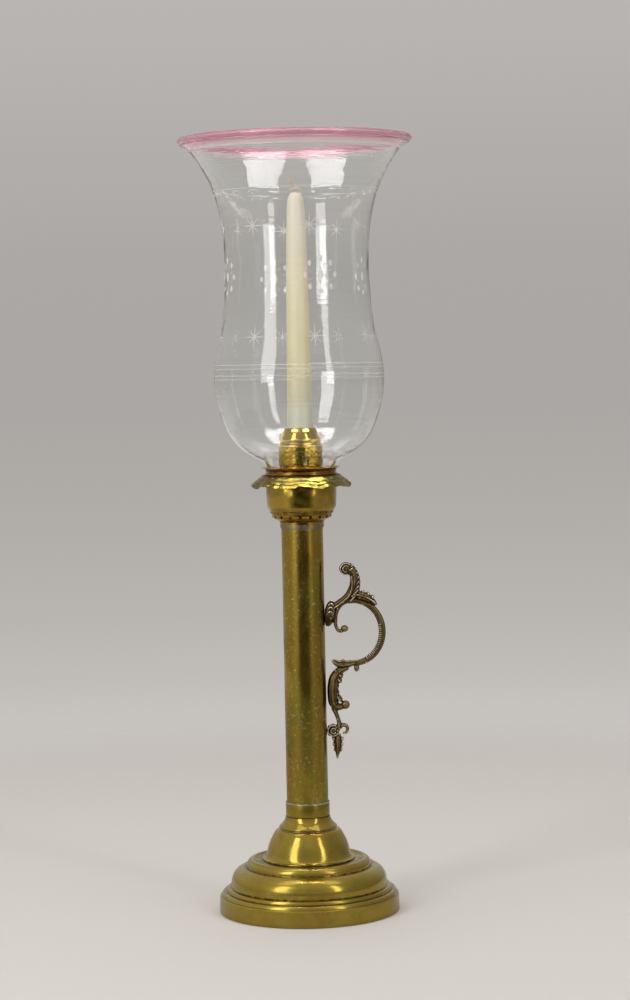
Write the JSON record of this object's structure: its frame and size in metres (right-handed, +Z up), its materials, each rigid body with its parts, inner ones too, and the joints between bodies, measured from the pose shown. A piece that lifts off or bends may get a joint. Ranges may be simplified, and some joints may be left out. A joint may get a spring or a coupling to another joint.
{
  "type": "hurricane candle holder",
  "caption": "Tall brass candle lamp: stepped foot, tube column with spring-fed candle, scroll handle, gallery and flared glass shade with a rose rim.",
  "frame": {"origin": "middle of the closing plate under the foot, on the table", "axes": "+Z up the column's axis, +X towards the scroll handle, -Y the front"},
  "size_m": [0.2012, 0.2012, 0.6674],
  "materials": {
    "brass": "old polish with brown and green tarnish",
    "cast_brass": "dark cast brass, worn bright on the high points",
    "coppery_brass": "heat-browned brass",
    "steel": "plain drawn steel",
    "iron": "rough casting",
    "clear_glass": "clear blown glass with wheel-cut stars",
    "rose_glass": "transparent rose glass",
    "wax": "ivory candle wax",
    "wick_cotton": "plaited cotton"
  },
  "bodies": {
    "stand": {"foot": "brass", "base_plate": "brass", "ballast": "iron", "bell": "brass", "washer": "steel", "nut": "steel", "collar": "brass", "column_tube": "brass", "column_plug": "brass", "handle": "cast_brass", "bayonet_pin_front": "brass", "bayonet_pin_back": "brass", "crown": "brass", "bowl": "brass", "drip_skirt": "brass", "shade_cup": "coppery_brass", "spring": "steel"},
    "glass": {"shade": "clear_glass", "shade_rim": "rose_glass"},
    "socket_cap": {"cap": "brass"},
    "candle_follower": {"follower": "brass"},
    "taper": {"candle": "wax", "wick": "wick_cotton"}
  },
  "joints": [
    {"name": "shade_lift", "type": "slide", "parent": "stand", "child": "glass", "axis": [0, 0, 1], "range_m": [0, 0.27]},
    {"name": "cap_turn", "type": "hinge", "parent": "stand", "child": "socket_cap", "pos_m": [0, 0, 0.395], "axis": [0, 0, 1], "range_deg": [0, 42]},
    {"name": "follower_slide", "type": "slide", "parent": "stand", "child": "candle_follower", "axis": [0, 0, 1], "range_m": [-0.2, 0], "stiffness_N_per_m": 30, "springref_m": 0.1, "deforming": ["spring"]},
    {"name": "candle_lift", "type": "slide", "parent": "candle_follower", "child": "taper", "axis": [0, 0, 1], "range_m": [0, 0.26]}
  ]
}
